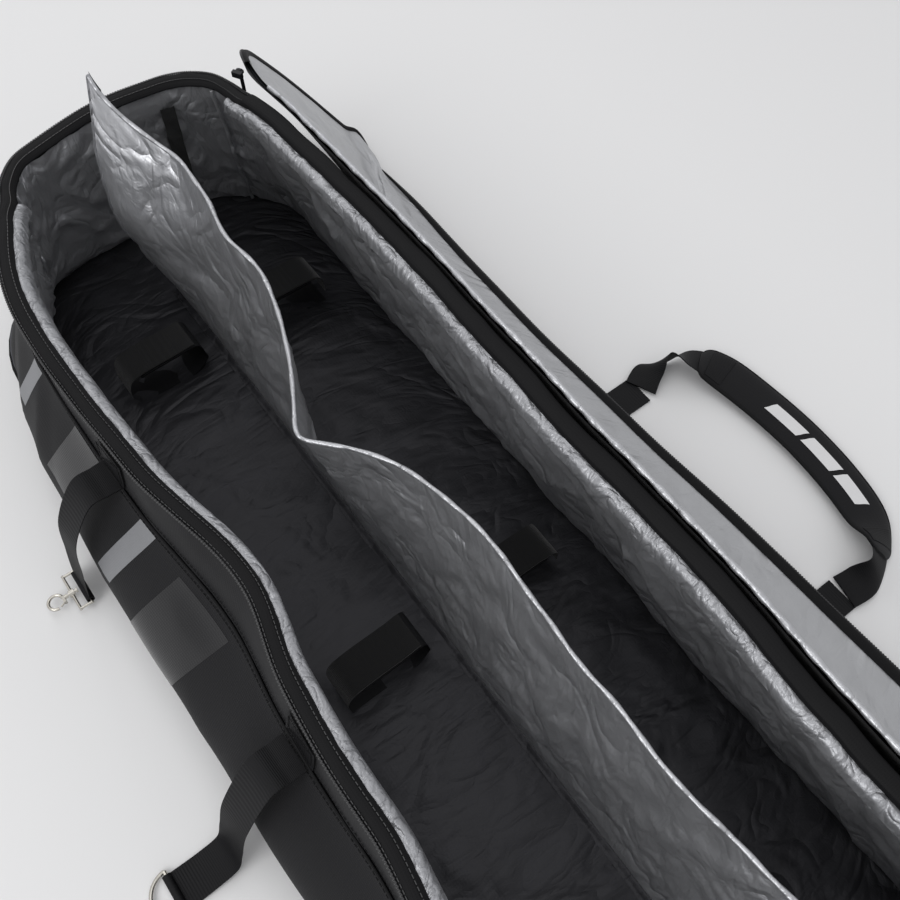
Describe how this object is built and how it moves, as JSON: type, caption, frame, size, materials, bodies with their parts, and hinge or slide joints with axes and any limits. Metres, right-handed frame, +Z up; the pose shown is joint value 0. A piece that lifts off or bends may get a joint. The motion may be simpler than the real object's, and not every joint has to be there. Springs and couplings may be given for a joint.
{
  "type": "ski bag",
  "caption": "Long padded ski bag lying open: soft black tub with silver lining, centre divider, hold-down straps, hinged lid, side webs and a padded carry loop.",
  "frame": {"origin": "centre of the base on the floor", "axes": "+X along the bag from the far end with the loose divider corner to the near end, +Y towards the lid's hinge side, +Z up"},
  "size_m": [1.7, 0.8304, 0.2972],
  "materials": {
    "outer_cloth": "matt",
    "silver_lining": "satin",
    "foam": "matt",
    "zip_coil": "satin",
    "zip_tape": "matt",
    "hook_tape": "matt",
    "zip_metal": "satin",
    "nickel": "polished",
    "pad_cloth": "matt",
    "webbing": "matt"
  },
  "bodies": {
    "tub": {"floor_panel": "outer_cloth", "floor_board": "foam", "floor_lining": "silver_lining", "side_zip": "outer_cloth", "side_hinge": "outer_cloth", "end_far": "outer_cloth", "end_near": "outer_cloth", "upper_band": "outer_cloth", "foam_zip_side": "foam", "foam_hinge_side": "foam", "foam_ends": "foam", "lining_zip_side": "silver_lining", "lining_hinge_side": "silver_lining", "lining_far": "silver_lining", "lining_near": "silver_lining", "tub_zip_tape": "zip_tape", "tub_zip_coil": "zip_coil", "rim_seam": "silver_lining", "hinge_binding": "zip_tape", "loop_tapes": "hook_tape", "divider_foot": "silver_lining", "side_patches": "webbing", "carry_roots": "webbing", "strap_zip_far_base": "webbing", "strap_zip_near_base": "webbing", "strap_hinge_far_base": "webbing", "strap_hinge_near_base": "webbing"},
    "lid_root": {"lid_roll": "silver_lining", "lid_root_shell": "outer_cloth", "lid_root_foam": "foam", "lid_root_lining": "silver_lining", "lid_root_tapes": "zip_tape"},
    "lid_tip": {"lid_tip_shell": "outer_cloth", "lid_tip_foam": "foam", "lid_tip_lining": "silver_lining", "lid_tip_tape": "zip_tape", "lid_tip_coil": "zip_coil"},
    "divider": {"divider_panel": "silver_lining", "divider_hem": "silver_lining", "divider_near_tape": "hook_tape"},
    "divider_corner": {"divider_corner": "silver_lining", "divider_tab": "hook_tape"},
    "slider_far": {"slider_far": "zip_metal"},
    "pull_far": {"pull_far": "zip_metal"},
    "slider_near": {"slider_near": "zip_metal"},
    "pull_near": {"pull_near": "zip_metal"},
    "web_far": {"web_far": "webbing"},
    "snap_eye": {"snap_eye": "nickel"},
    "snap_hook": {"snap_hook": "nickel"},
    "snap_gate": {"snap_gate": "nickel"},
    "web_near": {"web_near": "webbing"},
    "d_ring": {"d_ring": "nickel"},
    "carry_loop": {"carry_web": "webbing", "shoulder_pad": "pad_cloth", "pad_patches": "webbing"},
    "flap_zip_far": {"strap_zip_far_flap": "webbing"},
    "flap_zip_near": {"strap_zip_near_flap": "webbing"},
    "flap_hinge_far": {"strap_hinge_far_flap": "webbing"},
    "flap_hinge_near": {"strap_hinge_near_flap": "webbing"}
  },
  "joints": [
    {"name": "lid_hinge", "type": "hinge", "parent": "tub", "child": "lid_root", "pos_m": [0, 0.177, 0.238], "axis": [1, 0, 0], "range_deg": [0, 252]},
    {"name": "lid_fold", "type": "hinge", "parent": "lid_root", "child": "lid_tip", "pos_m": [0, 0.25027, 0.0125], "axis": [1, 0, 0], "range_deg": [-69.2, 0]},
    {"name": "divider_lean", "type": "hinge", "parent": "tub", "child": "divider", "pos_m": [0, 0.005, 0.0113], "axis": [1, 0, 0], "range_deg": [-6, 20]},
    {"name": "divider_corner_fold", "type": "hinge", "parent": "divider", "child": "divider_corner", "pos_m": [-0.694, 0.04095, 0.21516], "axis": [1, 0, 0], "range_deg": [0, 120.02]},
    {"name": "slider_far_run", "type": "hinge", "parent": "tub", "child": "slider_far", "pos_m": [-0.705, 0.08, 0.2277], "axis": [0, 0, 1], "range_deg": [0, 60]},
    {"name": "slider_near_run", "type": "hinge", "parent": "tub", "child": "slider_near", "pos_m": [0.705, 0.08, 0.2277], "axis": [0, 0, 1], "range_deg": [-60, 0]},
    {"name": "pull_far_swing", "type": "hinge", "parent": "slider_far", "child": "pull_far", "pos_m": [-0.7561, 0.16851, 0.2277], "axis": [0.866, 0.5, 0], "range_deg": [0, 150]},
    {"name": "pull_near_swing", "type": "hinge", "parent": "slider_near", "child": "pull_near", "pos_m": [0.7561, 0.16851, 0.2277], "axis": [-0.866, 0.5, 0], "range_deg": [-150, 0]},
    {"name": "web_far_swing", "type": "hinge", "parent": "tub", "child": "web_far", "pos_m": [-0.42, -0.183, 0.166], "axis": [1, 0, 0], "range_deg": [-75, 0]},
    {"name": "snap_eye_swing", "type": "hinge", "parent": "web_far", "child": "snap_eye", "pos_m": [-0.42, -0.27079, 0.0104], "axis": [1, 0, 0], "range_deg": [-60, 0]},
    {"name": "snap_swivel", "type": "hinge", "parent": "snap_eye", "child": "snap_hook", "pos_m": [-0.42, -0.28379, 0.0104], "axis": [0, 1, 0], "range_deg": [-90, 90]},
    {"name": "snap_gate_open", "type": "hinge", "parent": "snap_hook", "child": "snap_gate", "pos_m": [-0.4152, -0.29339, 0.0104], "axis": [0, 0, 1], "range_deg": [-30, 0], "stiffness_Nm_per_rad": 0.002},
    {"name": "web_near_swing", "type": "hinge", "parent": "tub", "child": "web_near", "pos_m": [-0.1, -0.183, 0.166], "axis": [1, 0, 0], "range_deg": [-75, 0]},
    {"name": "d_ring_swing", "type": "hinge", "parent": "web_near", "child": "d_ring", "pos_m": [-0.1, -0.33836, 0.0048], "axis": [1, 0, 0], "range_deg": [-100, 0]},
    {"name": "carry_lift", "type": "hinge", "parent": "tub", "child": "carry_loop", "pos_m": [-0.095, 0.37203, 0.005], "axis": [1, 0, 0], "range_deg": [0, 90]},
    {"name": "flap_zip_far_open", "type": "hinge", "parent": "tub", "child": "flap_zip_far", "pos_m": [-0.605, -0.1204, 0.0123], "axis": [1, 0, 0], "range_deg": [0, 70]},
    {"name": "flap_zip_near_open", "type": "hinge", "parent": "tub", "child": "flap_zip_near", "pos_m": [-0.16, -0.1204, 0.0123], "axis": [1, 0, 0], "range_deg": [0, 70]},
    {"name": "flap_hinge_far_open", "type": "hinge", "parent": "tub", "child": "flap_hinge_far", "pos_m": [-0.605, 0.1464, 0.0123], "axis": [1, 0, 0], "range_deg": [-70, 0]},
    {"name": "flap_hinge_near_open", "type": "hinge", "parent": "tub", "child": "flap_hinge_near", "pos_m": [-0.16, 0.1464, 0.0123], "axis": [1, 0, 0], "range_deg": [-70, 0]}
  ],
  "couplings": [
    {"joint": "lid_fold", "follows": "lid_hinge", "ratio": -0.27453},
    {"joint": "divider_corner_fold", "follows": "lid_hinge", "ratio": 0.47619}
  ]
}
